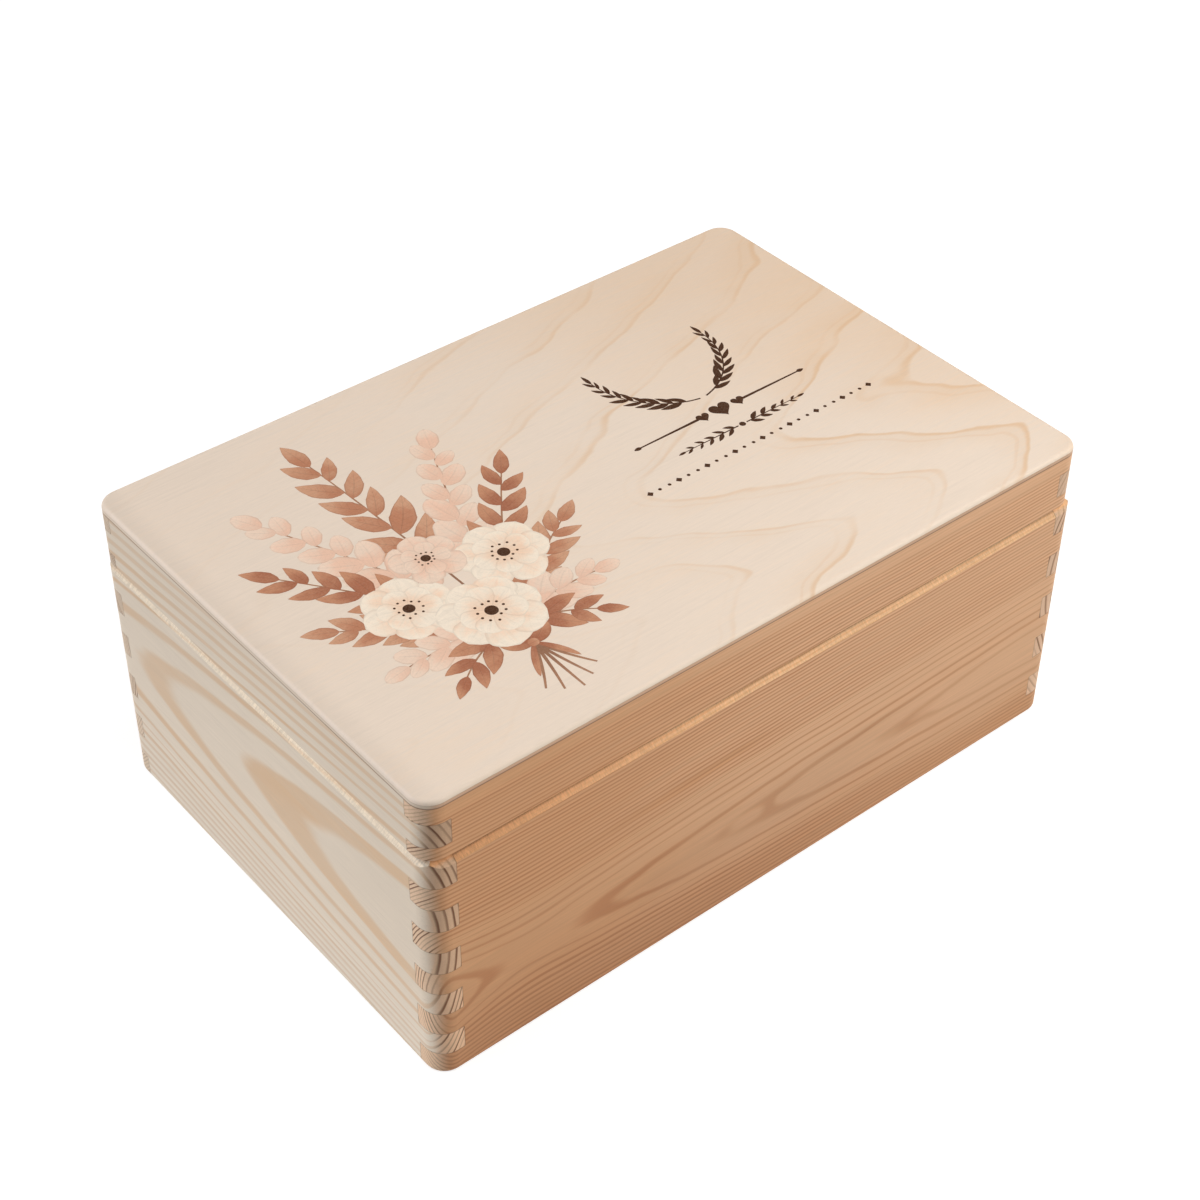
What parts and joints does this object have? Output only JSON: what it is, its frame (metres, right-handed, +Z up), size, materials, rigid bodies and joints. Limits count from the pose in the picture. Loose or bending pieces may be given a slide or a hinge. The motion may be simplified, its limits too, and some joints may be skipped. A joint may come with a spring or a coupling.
{
  "type": "keepsake box",
  "caption": "Hinged wooden keepsake box with finger-jointed pine corners, a chamfered rim and a flat plywood lid, for papers and small things.",
  "frame": {"origin": "centre of the footprint, on the surface the box rests on", "axes": "+X along the length to the right, +Y to the back where the hinges are, +Z up"},
  "size_m": [0.3, 0.2, 0.13],
  "materials": {
    "pine_long_boards": "sanded, unfinished pine",
    "pine_end_boards": "sanded, unfinished pine",
    "pine_lid_rails": "sanded, unfinished pine",
    "birch_plywood": "sanded birch plywood",
    "hinge_brass": "plain drawn brass",
    "hinge_screws": "turned brass"
  },
  "bodies": {
    "box": {"front_board": "pine_long_boards", "back_board": "pine_long_boards", "left_board": "pine_end_boards", "right_board": "pine_end_boards", "floor_panel": "birch_plywood", "left_hinge_box_leaf": "hinge_brass", "right_hinge_box_leaf": "hinge_brass", "left_hinge_pin": "hinge_brass", "right_hinge_pin": "hinge_brass", "left_hinge_box_screws": "hinge_screws", "right_hinge_box_screws": "hinge_screws"},
    "lid": {"lid_front_rail": "pine_lid_rails", "lid_back_rail": "pine_lid_rails", "lid_left_rail": "pine_lid_rails", "lid_right_rail": "pine_lid_rails", "lid_panel": "birch_plywood", "left_hinge_lid_leaf": "hinge_brass", "right_hinge_lid_leaf": "hinge_brass", "left_hinge_lid_screws": "hinge_screws", "right_hinge_lid_screws": "hinge_screws"}
  },
  "joints": [
    {"name": "lid_hinge", "type": "hinge", "parent": "box", "child": "lid", "pos_m": [0, 0.0944, 0.10415], "axis": [-1, 0, 0], "range_deg": [0, 100]}
  ]
}
